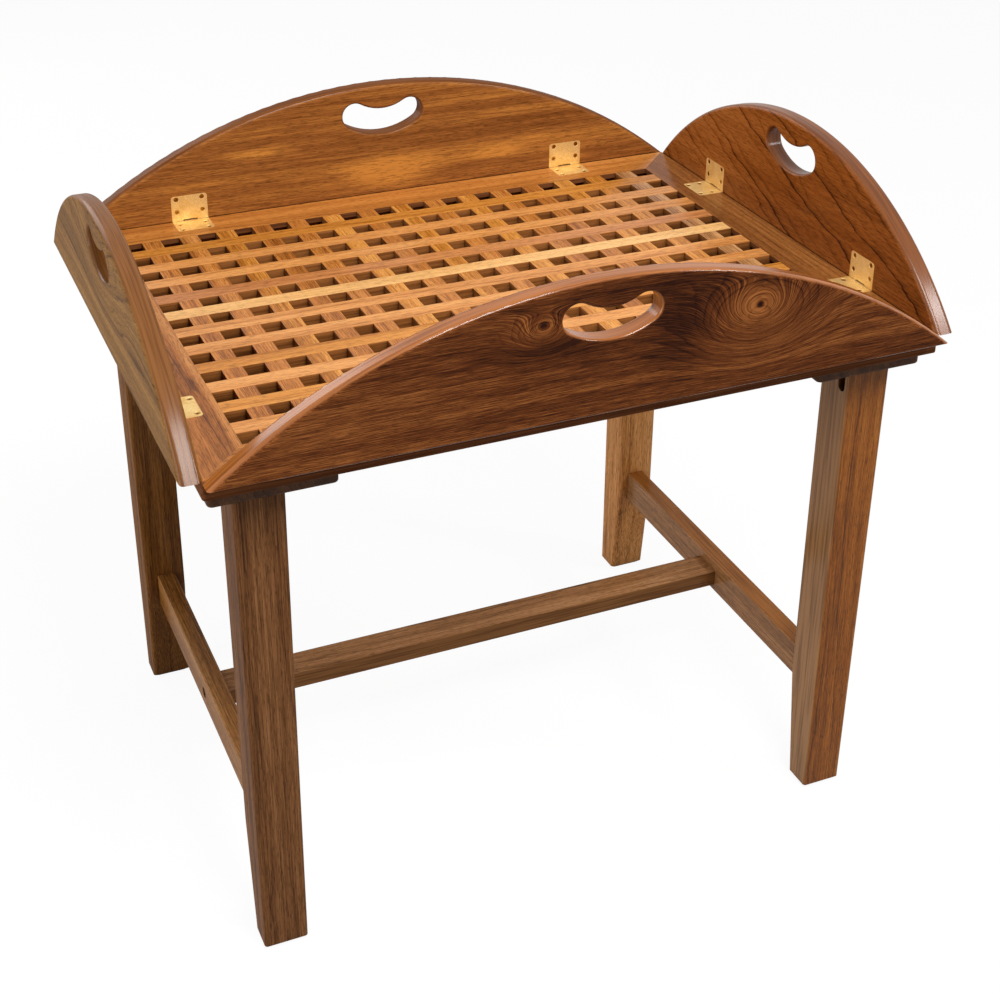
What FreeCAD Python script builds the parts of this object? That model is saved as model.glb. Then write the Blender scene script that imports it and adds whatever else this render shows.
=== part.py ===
import FreeCAD, Part
import math
import os

V = FreeCAD.Vector

# Butler's tray table in teak: a loose tray with a grating floor and four hinged
# leaves, standing on four legs joined by an H of stretchers. Sizes in mm.
# The origin is on the floor under the middle of the table: +X along the tray's
# long side, +Y to the back, +Z up.

# Tray and grating
tray_top = 525.0
board_thickness = 18.5
grating_length = 590.55
grating_width = 438.15
slat_width = 19.05
cell_size = 19.05
rail_width = 45.0
tongue_length = 8.0
tongue_thickness = 8.0
tray_corner_radius = 3.5
under_edge_radius = 1.5
spline_from_grating = 20.0
spline_length = 28.0
spline_width = 14.0
spline_thickness = 5.0

# Leaves
leaf_rise = 122.0
leaf_end_gap = 0.6
leaf_edge_radius = 4.5
fold_edge_radius = 2.76

# Handle hole: a slot along an arc that curves upward at both ends
hole_line_radius = 60.0
hole_half_width = 13.5
hole_half_angle = math.radians(31.0)
hole_line_height = 81.5
hole_edge_radius = 3.0

# Hinges: plates let in flush, with the pin below the fold
pin_depth = 2.0
fold_gap = 0.8
plate_width = 38.0
plate_depth = 29.7
plate_thickness = 2.0
plate_corner_radius = 3.0
knuckle_length = 15.0
knuckle_gap = 0.5
fold_slit = 1.5
pin_radius = 1.0
pin_running_clearance = 0.05
knuckle_relief = 0.4
hinge_from_middle_long = 215.0
hinge_from_middle_short = 141.0

# Hinge screws
screw_head_radius = 2.7
screw_head_sink = 0.3
screw_shank_radius = 1.3
screw_length = 13.0
screw_tip_length = 2.5
screw_from_middle = 13.5
screw_rows = (11.9, 25.9)
cross_length = 2.8
cross_width = 0.7
cross_depth = 0.9

# Runners under the tray, their screws and pegs
runner_thickness = 16.0
runner_width = 109.0
runner_inset_from_end = 6.4
runner_inset_from_side = 14.075
runner_corner_radius = 5.0
runner_edge_radius = 2.5
runner_screw_head_radius = 4.0
runner_screw_shank_radius = 2.0
runner_screw_sink = 8.0
runner_screw_bite = 12.0
runner_screw_rows = (-180.0, -60.0, 60.0, 180.0)
peg_radius = 4.5
peg_drop = 10.5
peg_hold = 14.0

# Legs: the face towards the other end tapers slightly all the way down, and the one
# towards the other side tapers below the end stretcher
leg_width = 44.5
leg_depth = 43.0
foot_width = 41.5
foot_depth = 29.0
leg_inset_from_end = 28.975
leg_inset_from_side = 26.875
taper_start = 125.0
leg_edge_radius = 3.0
foot_ease = 4.0
peg_slot_width = 10.0
peg_slot_depth = 26.0
peg_slot_reach = 22.0
peg_slot_from_outer_face = 9.7

# Stretchers and their fixings
end_stretcher_depth = 37.0
end_stretcher_thickness = 19.0
end_stretcher_bottom = 108.0
long_stretcher_width = 36.0
long_stretcher_thickness = 18.0
long_stretcher_rise = 7.5
stretcher_edge_radius = 1.5
tenon_length = 25.0
tenon_thickness = 9.0
tenon_depth = 25.0
bolt_shank_radius = 3.0
bolt_hole_clearance = 0.2
bolt_head_radius = 5.0
bolt_head_height = 6.0
bolt_socket_radius = 2.5
bolt_socket_depth = 3.0
counterbore_radius = 5.75
counterbore_depth = 11.0
nut_radius = 5.0
nut_length = 12.0
nut_from_end = 25.0
bolt_past_nut = 4.0

# Sizes that follow from the ones above
cells_along = round((grating_length + slat_width) / (cell_size + slat_width))
cells_across = round((grating_width + slat_width) / (cell_size + slat_width))
tray_length = grating_length + 2 * rail_width
tray_width = grating_width + 2 * rail_width
stand_length = tray_length - 2 * leg_inset_from_end
stand_width = tray_width - 2 * leg_inset_from_side
tray_bottom = tray_top - board_thickness
lap_height = tray_top - board_thickness / 2
leg_height = tray_bottom - runner_thickness
pin_height = tray_top - pin_depth
knuckle_radius = pin_depth
leaf_foot = fold_gap / 2
leaf_inner_face = pin_depth
leaf_outer_face = leaf_inner_face - board_thickness
leg_middle_x = stand_length / 2 - leg_width / 2
leg_inner_x = stand_length / 2 - leg_width
long_stretcher_bottom = end_stretcher_bottom + long_stretcher_rise
stretcher_bolt_height = long_stretcher_bottom + long_stretcher_thickness / 2
runner_outer = tray_length / 2 - runner_inset_from_end
peg_slot_middle_y = stand_width / 2 - peg_slot_from_outer_face
peg_middle_x = leg_inner_x + peg_slot_reach - peg_slot_width / 2
BIG = 60.0


class Side:
    """One side of the tray: where its hinge line is and how far it turns from the front."""

    def __init__(self, name, turn, half_length, half_depth, hinge_from_middle):
        self.name = name
        self.turn = turn
        self.half_length = half_length
        self.half_depth = half_depth
        self.pin_from_middle = half_depth + fold_gap / 2
        self.hinges = (-hinge_from_middle, hinge_from_middle)

    def place(self, shape):
        """Move a shape from the hinge line's own frame (X along the pin, -Y outward) to the table."""
        moved = shape.copy()
        moved.translate(V(0, -self.pin_from_middle, pin_height))
        moved.rotate(V(0, 0, 0), V(0, 0, 1), self.turn)
        return moved


SIDES = (
    Side("front", 0, tray_length / 2, tray_width / 2, hinge_from_middle_long),
    Side("right", 90, tray_width / 2, tray_length / 2, hinge_from_middle_short),
    Side("back", 180, tray_length / 2, tray_width / 2, hinge_from_middle_long),
    Side("left", 270, tray_width / 2, tray_length / 2, hinge_from_middle_short),
)


def block(x0, x1, y0, y1, z0, z1):
    """Box between two corners."""
    return Part.makeBox(x1 - x0, y1 - y0, z1 - z0, V(x0, y0, z0))


def rod(radius, start, end):
    """Round bar from one point to another."""
    return Part.makeCylinder(radius, (end - start).Length, start, end - start)


def edges_where(shape, test):
    """Edges whose bounding box passes a test."""
    return [edge for edge in shape.Edges if test(edge.BoundBox)]


def along_x(shape, offset):
    """Copy of a shape moved along X."""
    moved = shape.copy()
    moved.translate(V(offset, 0, 0))
    return moved


def cut_all(shape, tools):
    """Shape with every tool taken out of it."""
    return shape.cut(Part.makeCompound(tools)) if tools else shape


def arc(a, b, c):
    """Edge on the circle through three points."""
    return Part.Arc(a, b, c).toShape()


def inside_fillet_bar(length, y_edge, y_way, z_edge, z_way, radius):
    """What a round-over takes off an arris along X; the ways point into the wood."""
    y_in = y_edge + y_way * radius
    z_in = z_edge + z_way * radius
    y_out = y_edge - y_way
    z_out = z_edge - z_way
    bar = block(-length, length, min(y_in, y_out), max(y_in, y_out), min(z_in, z_out), max(z_in, z_out))
    return bar.cut(rod(radius, V(-length, y_in, z_in), V(length, y_in, z_in)))


# Leaves

def leaf_blank(half_length):
    """Board cut to an arch: a straight foot, and one large arc that meets it in a point at each end."""
    tip = half_length - leaf_end_gap
    left = V(-tip, leaf_inner_face, leaf_foot)
    right = V(tip, leaf_inner_face, leaf_foot)
    top = V(0, leaf_inner_face, leaf_foot + leaf_rise)
    outline = Part.Face(Part.Wire([Part.makeLine(left, right), arc(right, top, left)]))
    return outline.extrude(V(0, -board_thickness, 0))


def round_arch(board):
    """Round both arrises along the arch, and ease the straight foot."""
    arch = edges_where(board, lambda b: b.YLength < 1e-6 and b.ZMax > leaf_foot + 1)
    board = board.makeFillet(leaf_edge_radius, arch)
    length = board.BoundBox.XLength
    fold = inside_fillet_bar(length, leaf_inner_face, -1, leaf_foot, 1, fold_edge_radius)
    under = inside_fillet_bar(length, leaf_outer_face, 1, leaf_foot, 1, under_edge_radius)
    return cut_all(board, [fold, under])


def handle_hole():
    """Smile-shaped slot through a leaf."""
    centre = leaf_foot + hole_line_height + hole_line_radius
    outer = hole_line_radius + hole_half_width
    inner = hole_line_radius - hole_half_width

    def point(radius, angle):
        return V(radius * math.sin(angle), BIG / 2, centre - radius * math.cos(angle))

    def lobe(sign):
        angle = sign * hole_half_angle
        along = V(sign * math.cos(angle), 0, abs(math.sin(angle)))
        return point(hole_line_radius, angle) + along * hole_half_width

    a = hole_half_angle
    edges = [
        arc(point(outer, -a), point(outer, 0), point(outer, a)),
        arc(point(outer, a), lobe(1), point(inner, a)),
        arc(point(inner, a), point(inner, 0), point(inner, -a)),
        arc(point(inner, -a), lobe(-1), point(outer, -a)),
    ]
    return Part.Face(Part.Wire(edges)).extrude(V(0, -BIG, 0))


def pierce_handle(board):
    """Cut the handle hole and round both of its arrises."""
    pierced = board.cut(handle_hole())
    area = handle_hole().BoundBox
    rim = edges_where(pierced, lambda b: b.YLength < 1e-6 and area.isInside(b))
    return pierced.makeFillet(hole_edge_radius, rim)


def leaf_board(side):
    """Finished leaf, upright, with its hinge plates' seats and screw holes."""
    board = pierce_handle(round_arch(leaf_blank(side.half_length)))
    tools = []
    for offset in side.hinges:
        tools.append(along_x(leaf_plate_blank(), offset))
        tools.append(along_x(knuckle_clearance(), offset))
        tools += [along_x(shank, offset) for shank in leaf_screw_shanks()]
    return side.place(cut_all(board, tools))


# Hinges, drawn in the hinge line's own frame with the leaf upright

def swap_to_leaf(shape):
    """Mirror a tray-side hinge shape about the fold's bisecting plane, so Y and Z change places."""
    return shape.mirror(V(0, 0, 0), V(0, 1, -1))


def tray_plate_blank():
    """Rounded plate that is let into the rail."""
    plate = block(-plate_width / 2, plate_width / 2, 0, plate_depth, pin_depth - plate_thickness, pin_depth)
    corners = edges_where(plate, lambda b: b.ZLength > plate_thickness / 2 and b.YMin > plate_depth / 2)
    return plate.makeFillet(plate_corner_radius, corners)


def leaf_plate_blank():
    """Rounded plate that is let into the leaf."""
    return swap_to_leaf(tray_plate_blank())


def knuckle_clearance():
    """Room cut in the wood for the knuckles."""
    half = plate_width / 2 + knuckle_relief
    return rod(knuckle_radius + knuckle_relief, V(-half, 0, 0), V(half, 0, 0))


def screw_places():
    """Screw positions on a plate: along the pin, and away from it."""
    return [(x, y) for x in (-screw_from_middle, screw_from_middle) for y in screw_rows]


def countersinks(height):
    """Cones of a tray plate's countersinks, from the plate's underside up to a height."""
    spread = (screw_head_radius - screw_shank_radius) / plate_thickness
    return [Part.makeCone(screw_shank_radius, screw_shank_radius + spread * height, height,
                          V(x, y, pin_depth - plate_thickness)) for x, y in screw_places()]


def screw_shanks():
    """Shanks below a tray plate, each with a tapered point."""
    shanks = []
    for x, y in screw_places():
        top = V(x, y, pin_depth - plate_thickness)
        neck = V(x, y, pin_depth - screw_length + screw_tip_length)
        tip = Part.makeCone(0, screw_shank_radius, screw_tip_length, V(x, y, pin_depth - screw_length))
        shanks.append(rod(screw_shank_radius, neck, top).fuse(tip).removeSplitter())
    return shanks


def leaf_screw_shanks():
    """Shanks in a leaf."""
    return [swap_to_leaf(shank) for shank in screw_shanks()]


def tray_screws():
    """Whole screws of a tray plate, sunk a little below its face, with cross recesses."""
    screws = []
    heads = countersinks(plate_thickness - screw_head_sink)
    for (x, y), head, shank in zip(screw_places(), heads, screw_shanks()):
        low = pin_depth - screw_head_sink - cross_depth
        high = pin_depth + 1
        reach = cross_length / 2
        half = cross_width / 2
        cross = [block(x - reach, x + reach, y - half, y + half, low, high),
                 block(x - half, x + half, y - reach, y + reach, low, high)]
        screws.append(cut_all(head.fuse(shank).removeSplitter(), cross))
    return screws


def tray_plate():
    """Plate on the tray with the middle knuckle, cut back at both ends for the leaf's knuckles."""
    half_knuckle = knuckle_length / 2 - knuckle_gap
    plate = tray_plate_blank()
    for sign in (-1, 1):
        ends = sorted((sign * half_knuckle, sign * plate_width))
        plate = plate.cut(block(ends[0], ends[1], -1, knuckle_radius + knuckle_gap, -BIG, BIG))
    plate = plate.fuse(rod(knuckle_radius, V(-half_knuckle, 0, 0), V(half_knuckle, 0, 0))).removeSplitter()
    half = plate_width
    bore = rod(pin_radius, V(-half, 0, 0), V(half, 0, 0))
    return cut_all(plate, [bore] + countersinks(plate_thickness))


def leaf_plate():
    """Plate on the leaf with the two outer knuckles, cut back to a slit in the middle of the fold."""
    inner_end = knuckle_length / 2
    plate = leaf_plate_blank()
    plate = plate.cut(block(-inner_end, inner_end, -BIG, BIG, -1, knuckle_radius + fold_slit))
    for sign in (-1, 1):
        near = V(sign * inner_end, 0, 0)
        far = V(sign * plate_width / 2, 0, 0)
        plate = plate.fuse(rod(knuckle_radius, near, far))
    half = plate_width
    bore = rod(pin_radius + pin_running_clearance, V(-half, 0, 0), V(half, 0, 0))
    sinks = [swap_to_leaf(sink) for sink in countersinks(plate_thickness)]
    return cut_all(plate.removeSplitter(), [bore] + sinks)


def hinge_pin():
    """Pin that is fast in the tray plate's knuckle."""
    half = plate_width / 2
    return rod(pin_radius, V(-half, 0, 0), V(half, 0, 0))


def on_hinges(side, shapes):
    """Copies of hinge shapes at both hinges of one side."""
    return [side.place(along_x(shape, offset)) for offset in side.hinges for shape in shapes]


# Tray frame and grating

def tongue_block(x0, x1, y0, y1):
    """Block at the height of the tongues and grooves."""
    half = tongue_thickness / 2
    return block(x0, x1, y0, y1, lap_height - half, lap_height + half)


def hinge_seats(side):
    """What one side's hinges take out of the tray's rails."""
    return on_hinges(side, [tray_plate_blank(), knuckle_clearance()] + screw_shanks())


def tray_ring():
    """Frame of the tray before it is parted at the mitres: rounded outside, grooved inside."""
    x = tray_length / 2
    y = tray_width / 2
    ring = block(-x, x, -y, y, tray_bottom, tray_top)
    ring = ring.makeFillet(tray_corner_radius, edges_where(ring, lambda b: b.ZLength > board_thickness / 2))
    ring = ring.makeFillet(fold_edge_radius, edges_where(ring, lambda b: b.ZMin > tray_top - 1e-3))
    ring = ring.makeFillet(under_edge_radius, edges_where(ring, lambda b: b.ZMax < tray_bottom + 1e-3))
    x = grating_length / 2
    y = grating_width / 2
    ring = ring.cut(block(-x, x, -y, y, tray_bottom - 1, tray_top + 1))
    x += tongue_length
    y += tongue_length
    return ring.cut(tongue_block(-x, x, -y, y))


def mitre_wedge(side):
    """Room between the mitres at both ends of one rail."""
    points = []
    for inset in (-BIG / 2, rail_width + BIG / 2):
        points.append(V(inset - side.half_length, inset - side.half_depth, tray_bottom - 1))
        points.append(V(side.half_length - inset, inset - side.half_depth, tray_bottom - 1))
    near_left, near_right, far_left, far_right = points
    outline = Part.makePolygon([near_left, near_right, far_right, far_left, near_left])
    wedge = Part.Face(outline).extrude(V(0, 0, board_thickness + 2))
    wedge.rotate(V(0, 0, 0), V(0, 0, 1), side.turn)
    return wedge


def mitre_splines():
    """Flat loose tongues across the four mitres."""
    half = spline_width / 2
    low = lap_height - spline_thickness / 2
    splines = []
    for x_sign, y_sign in ((1, 1), (-1, 1), (-1, -1), (1, -1)):
        spline = block(spline_from_grating, spline_from_grating + spline_length, -half, half,
                       low, low + spline_thickness)
        spline.rotate(V(0, 0, 0), V(0, 0, 1), math.degrees(math.atan2(y_sign, x_sign)))
        spline.translate(V(x_sign * grating_length / 2, y_sign * grating_width / 2, 0))
        splines.append(spline)
    return splines


def rail(side):
    """Rail of one side, mitred at both ends, with its hinge seats and spline slots."""
    return cut_all(tray_ring().common(mitre_wedge(side)), hinge_seats(side) + mitre_splines())


def slat_middles(length, cells):
    """Middles of the slats that part a length into equal cells, measured from the grating's middle."""
    pitch = (length + slat_width) / cells
    return [(index - cells / 2) * pitch for index in range(1, cells)]


def long_slat(y):
    """Slat along X, whole on top and notched below for the cross slats."""
    end = grating_length / 2
    half = slat_width / 2
    slat = block(-end, end, y - half, y + half, tray_bottom, tray_top)
    reach = end + tongue_length
    slat = slat.fuse(tongue_block(-reach, reach, y - half, y + half)).removeSplitter()
    notches = [block(x - half, x + half, y - slat_width, y + slat_width, tray_bottom - 1, lap_height)
               for x in slat_middles(grating_length, cells_along)]
    return cut_all(slat, notches)


def cross_slat(x):
    """Slat along Y, notched on top for the long slats."""
    end = grating_width / 2
    half = slat_width / 2
    slat = block(x - half, x + half, -end, end, tray_bottom, tray_top)
    reach = end + tongue_length
    slat = slat.fuse(tongue_block(x - half, x + half, -reach, reach)).removeSplitter()
    notches = [block(x - slat_width, x + slat_width, y - half, y + half, lap_height, tray_top + 1)
               for y in slat_middles(grating_width, cells_across)]
    return cut_all(slat, notches)


# Runners under the tray

def runner_screw_places(sign):
    """Screws through a runner, under the middle of the end rail's overlap."""
    x = sign * (grating_length / 2 + runner_outer) / 2
    return [V(x, y, leg_height) for y in runner_screw_rows]


def runner_screw(place):
    """Countersunk screw from below, with its head sunk in the runner."""
    head_low = place + V(0, 0, runner_screw_sink)
    head_height = runner_screw_head_radius - runner_screw_shank_radius
    head = Part.makeCone(runner_screw_head_radius, runner_screw_shank_radius, head_height, head_low)
    end = V(place.x, place.y, tray_bottom + runner_screw_bite)
    return head.fuse(rod(runner_screw_shank_radius, head_low + V(0, 0, head_height), end)).removeSplitter()


def peg_places(sign):
    """Pegs of one runner, over the slots in the legs' tops."""
    return [V(sign * peg_middle_x, y, leg_height) for y in (-peg_slot_middle_y, peg_slot_middle_y)]


def peg(place):
    """Dowel that stands out below a runner."""
    return rod(peg_radius, place - V(0, 0, peg_drop), place + V(0, 0, peg_hold))


def runner(sign):
    """Board along Y under one end of the tray."""
    xs = sorted((sign * runner_outer, sign * (runner_outer - runner_width)))
    half = tray_width / 2 - runner_inset_from_side
    board = block(xs[0], xs[1], -half, half, leg_height, tray_bottom)
    corners = edges_where(board, lambda b: b.ZLength > runner_thickness / 2)
    board = board.makeFillet(runner_corner_radius, corners)
    under = edges_where(board, lambda b: b.ZMax < leg_height + 1e-3)
    board = board.makeFillet(runner_edge_radius, under)
    tools = [runner_screw(place) for place in runner_screw_places(sign)]
    tools += [rod(runner_screw_head_radius, place - V(0, 0, 1), place + V(0, 0, runner_screw_sink))
              for place in runner_screw_places(sign)]
    tools += [peg(place) for place in peg_places(sign)]
    return cut_all(board, tools)


# Stand

def section_wire(width, depth, inset, z):
    """Rounded outline of a leg's section, inward of its outer faces at X = 0 and Y = 0."""
    left = inset - width
    right = -inset
    near = inset
    far = depth - inset
    r = leg_edge_radius
    k = r * (1 - math.sqrt(0.5))
    points = [(left + r, near), (right - r, near), (right - k, near + k), (right, near + r),
              (right, far - r), (right - k, far - k), (right - r, far), (left + r, far),
              (left + k, far - k), (left, far - r), (left, near + r), (left + k, near + k)]
    p = [V(x, y, z) for x, y in points]
    edges = []
    for i in range(0, 12, 3):
        edges.append(Part.makeLine(p[i], p[i + 1]))
        edges.append(arc(p[i + 1], p[i + 2], p[(i + 3) % 12]))
    return Part.Wire(edges)


def leg_blank():
    """Leg of the front right corner, with its outer corner on the Z axis."""

    def section(z, inset):
        width = foot_width + (leg_width - foot_width) * z / leg_height
        depth = foot_depth + (leg_depth - foot_depth) * min(z / taper_start, 1)
        return section_wire(width, depth, inset, z)

    wires = [section(0, foot_ease), section(foot_ease, 0), section(taper_start, 0), section(leg_height, 0)]
    return Part.makeLoft(wires, True, True)


def peg_slot():
    """Slot in a leg's top, rounded below and at its blind end, open to the face towards the other end."""
    start = -leg_width
    radius = peg_slot_width / 2
    y = peg_slot_from_outer_face
    low = leg_height - peg_slot_depth + radius
    end = start + peg_slot_reach - radius
    upper = block(start - 1, end, y - radius, y + radius, low, leg_height + 1)
    lower = rod(radius, V(start - 1, y, low), V(end, y, low))
    stop = rod(radius, V(end, y, low), V(end, y, leg_height + 1))
    ball = Part.makeSphere(radius, V(end, y, low))
    return upper.fuse([lower, stop, ball])


def tenon(y0, y1):
    """Tenon of an end stretcher along Y, about X = 0."""
    middle = end_stretcher_bottom + end_stretcher_depth / 2
    half = tenon_thickness / 2
    return block(-half, half, y0, y1, middle - tenon_depth / 2, middle + tenon_depth / 2)


def leg(x_sign, y_sign):
    """One leg with its peg slot and its mortise; drawn as the front right one, then mirrored into place."""
    mortise = along_x(tenon(leg_depth - tenon_length, leg_depth + 1), -leg_width / 2)
    shape = cut_all(leg_blank(), [peg_slot(), mortise])
    shape.translate(V(stand_length / 2, -stand_width / 2, 0))
    if x_sign < 0:
        shape = shape.mirror(V(0, 0, 0), V(1, 0, 0))
    if y_sign > 0:
        shape = shape.mirror(V(0, 0, 0), V(0, 1, 0))
    return shape


def eased_bar(x0, x1, y0, y1, z0, z1, is_long_edge):
    """Bar with its long arrises rounded."""
    bar = block(x0, x1, y0, y1, z0, z1)
    return bar.makeFillet(stretcher_edge_radius, edges_where(bar, is_long_edge))


def end_stretcher(sign):
    """Stretcher on edge between a front and a rear leg, tenoned at both ends, with a sunk bolt hole."""
    half_x = end_stretcher_thickness / 2
    half_y = stand_width / 2 - leg_depth
    top = end_stretcher_bottom + end_stretcher_depth
    bar = eased_bar(-half_x, half_x, -half_y, half_y, end_stretcher_bottom, top,
                    lambda b: b.YLength > half_y)
    bar = bar.fuse(tenon(-half_y - tenon_length, half_y + tenon_length)).removeSplitter()
    level = V(0, 0, stretcher_bolt_height)
    hole = rod(bolt_shank_radius + bolt_hole_clearance, level - V(BIG, 0, 0), level + V(BIG, 0, 0))
    sink = rod(counterbore_radius, level + V(half_x - counterbore_depth, 0, 0), level + V(BIG, 0, 0))
    bar = cut_all(bar, [hole, sink])
    bar.translate(V(leg_middle_x, 0, 0))
    return bar if sign > 0 else bar.mirror(V(0, 0, 0), V(1, 0, 0))


def long_stretcher_end():
    """X of the long stretcher's right end, against the end stretcher's inner face."""
    return leg_middle_x - end_stretcher_thickness / 2


def barrel_nut(sign):
    """Cross nut in the long stretcher, with the bolt's hole through it."""
    x = sign * (long_stretcher_end() - nut_from_end)
    half = nut_length / 2
    nut = rod(nut_radius, V(x, 0, stretcher_bolt_height - half), V(x, 0, stretcher_bolt_height + half))
    level = V(x, 0, stretcher_bolt_height)
    return nut.cut(rod(bolt_shank_radius, level - V(BIG, 0, 0), level + V(BIG, 0, 0)))


def bolt(sign):
    """Socket-head bolt from the end stretcher's sunk hole into the cross nut."""
    seat = leg_middle_x + end_stretcher_thickness / 2 - counterbore_depth
    tip = long_stretcher_end() - nut_from_end - nut_radius - bolt_past_nut
    z = stretcher_bolt_height
    head = rod(bolt_head_radius, V(seat, 0, z), V(seat + bolt_head_height, 0, z))
    socket = rod(bolt_socket_radius, V(seat + bolt_head_height - bolt_socket_depth, 0, z),
                 V(seat + bolt_head_height + 1, 0, z))
    shape = head.fuse(rod(bolt_shank_radius, V(tip, 0, z), V(seat, 0, z))).removeSplitter().cut(socket)
    return shape if sign > 0 else shape.mirror(V(0, 0, 0), V(1, 0, 0))


def long_stretcher():
    """Stretcher laid flat along X between the end stretchers, bored for the bolts and cross nuts."""
    end = long_stretcher_end()
    half_y = long_stretcher_width / 2
    top = long_stretcher_bottom + long_stretcher_thickness
    bar = eased_bar(-end, end, -half_y, half_y, long_stretcher_bottom, top, lambda b: b.XLength > end)
    tools = []
    for sign in (-1, 1):
        nut_x = sign * (end - nut_from_end)
        blind = sign * (end - nut_from_end - nut_radius - bolt_past_nut)
        z = stretcher_bolt_height
        tools.append(rod(bolt_shank_radius + bolt_hole_clearance, V(blind, 0, z), V(sign * (end + 1), 0, z)))
        tools.append(rod(nut_radius, V(nut_x, 0, long_stretcher_bottom - 1), V(nut_x, 0, z + nut_length / 2)))
    return cut_all(bar, tools)


def stand_nodes():
    """Pieces of the stand."""
    nodes = {}
    for y_sign, depth in ((-1, "front"), (1, "rear")):
        for x_sign, hand in ((-1, "left"), (1, "right")):
            nodes[f"leg_{depth}_{hand}"] = leg(x_sign, y_sign)
    nodes["end_stretcher_left"] = end_stretcher(-1)
    nodes["end_stretcher_right"] = end_stretcher(1)
    nodes["long_stretcher"] = long_stretcher()
    nodes["stretcher_bolts"] = Part.makeCompound([bolt(-1), bolt(1)])
    nodes["barrel_nuts"] = Part.makeCompound([barrel_nut(-1), barrel_nut(1)])
    return nodes


def tray_nodes():
    """Pieces of the tray, without its leaves."""
    nodes = {}
    for side in SIDES:
        nodes[f"rail_{side.name}"] = rail(side)
    nodes["mitre_splines"] = Part.makeCompound(mitre_splines())
    seats = [runner_screw(place) for sign in (-1, 1) for place in runner_screw_places(sign)]
    for name in ("rail_left", "rail_right"):
        nodes[name] = cut_all(nodes[name], seats)
    for index, y in enumerate(reversed(slat_middles(grating_width, cells_across)), 1):
        nodes[f"long_slat_{index:02d}"] = long_slat(y)
    for index, x in enumerate(slat_middles(grating_length, cells_along), 1):
        nodes[f"cross_slat_{index:02d}"] = cross_slat(x)
    nodes["runner_left"] = runner(-1)
    nodes["runner_right"] = runner(1)
    nodes["runner_screws"] = Part.makeCompound(seats)
    nodes["locating_pegs"] = Part.makeCompound([peg(place) for sign in (-1, 1) for place in peg_places(sign)])
    plates = [tray_plate()]
    pins = [hinge_pin()]
    screws = tray_screws()
    nodes["hinge_tray_plates"] = Part.makeCompound([s for side in SIDES for s in on_hinges(side, plates)])
    nodes["hinge_pins"] = Part.makeCompound([s for side in SIDES for s in on_hinges(side, pins)])
    nodes["hinge_tray_screws"] = Part.makeCompound([s for side in SIDES for s in on_hinges(side, screws)])
    return nodes


def leaf_nodes():
    """Boards, hinge plates and screws of the four leaves."""
    nodes = {}
    plates = [leaf_plate()]
    screws = [swap_to_leaf(screw) for screw in tray_screws()]
    for side in SIDES:
        nodes[f"leaf_{side.name}"] = leaf_board(side)
        nodes[f"leaf_plates_{side.name}"] = Part.makeCompound(on_hinges(side, plates))
        nodes[f"leaf_screws_{side.name}"] = Part.makeCompound(on_hinges(side, screws))
    return nodes


def main():
    """Write one STEP file for each node."""
    os.makedirs("parts", exist_ok=True)
    nodes = {**stand_nodes(), **tray_nodes(), **leaf_nodes()}
    for name, shape in nodes.items():
        shape.exportStep(f"parts/{name}.step")


main()
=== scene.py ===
"""Looks of a teak butler's tray table: finishes for every piece, studio, light and camera."""

import logging
import math
from dataclasses import dataclass
from enum import Enum
from typing import Any

import bpy
from mathutils import Matrix, Vector

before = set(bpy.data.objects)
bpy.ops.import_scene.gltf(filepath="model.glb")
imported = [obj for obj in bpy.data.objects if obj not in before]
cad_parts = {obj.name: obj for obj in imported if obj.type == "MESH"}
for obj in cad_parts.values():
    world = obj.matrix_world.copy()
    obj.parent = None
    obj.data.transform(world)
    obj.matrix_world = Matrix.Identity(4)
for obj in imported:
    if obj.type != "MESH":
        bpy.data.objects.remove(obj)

LOG = logging.getLogger("tray_table")
MM = 0.001
SIDES = ("front", "right", "back", "left")

Socket = bpy.types.NodeSocket
Tree = bpy.types.NodeTree
Nodes = dict[str, bpy.types.Object]
Colour = tuple[float, float, float, float]
Stops = tuple[tuple[float, Colour], ...]

# Sockets of a Mix node that mixes two colours
MIX_SHARE, MIX_FIRST, MIX_SECOND = 0, 6, 7
MIX_RESULT = 2

# Noise of the wood: its average, how strongly its finer octaves count, and how far a board's seed and a
# layer's number shift it along, across and through the board
NOISE_MIDDLE = 0.5
NOISE_ROUGHNESS = 0.55
NOISE_SHIFT = ((1.37, 3.1), (0.73, 1.7), (0.31, 0.9))
# Noise strays by about a quarter to either side of its average, so four times it strays by a named length
NOISE_GAIN = 4

# Darkness through one growth ring: late wood at its start, then pale early wood, then the next late wood
RING_SHADES = ((0.0, 0.8), (0.07, 1.0), (0.20, 0.35), (0.6, 0.0), (0.93, 0.1), (1.0, 0.8))

# Eased arrises: corners of loose triangles within the weld's distance are joined first, and then the edges
# that turn by more than the angle are rounded
WELD_MM = 0.001
EASE_SEGMENTS = 2
EASE_ANGLE = math.radians(40)

# Rays that a material sends out to find rounded normals, and the crevices and recesses that get painted shade
NORMAL_RAYS = 4
CREVICE_RAYS = 8


def linear(hex_colour: str) -> Colour:
    """Turn an sRGB hex colour into linear RGBA.

    Args:
        hex_colour: Colour as "#rrggbb".

    Returns:
        Linear red, green and blue with full alpha.
    """
    parts = [int(hex_colour[i:i + 2], 16) / 255 for i in (1, 3, 5)]
    red, green, blue = (c / 12.92 if c <= 0.04045 else ((c + 0.055) / 1.055) ** 2.4 for c in parts)
    return red, green, blue, 1.0


def grey(value: float) -> Colour:
    """Grey of one level, for ramps that carry a number."""
    return value, value, value, 1.0


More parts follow.
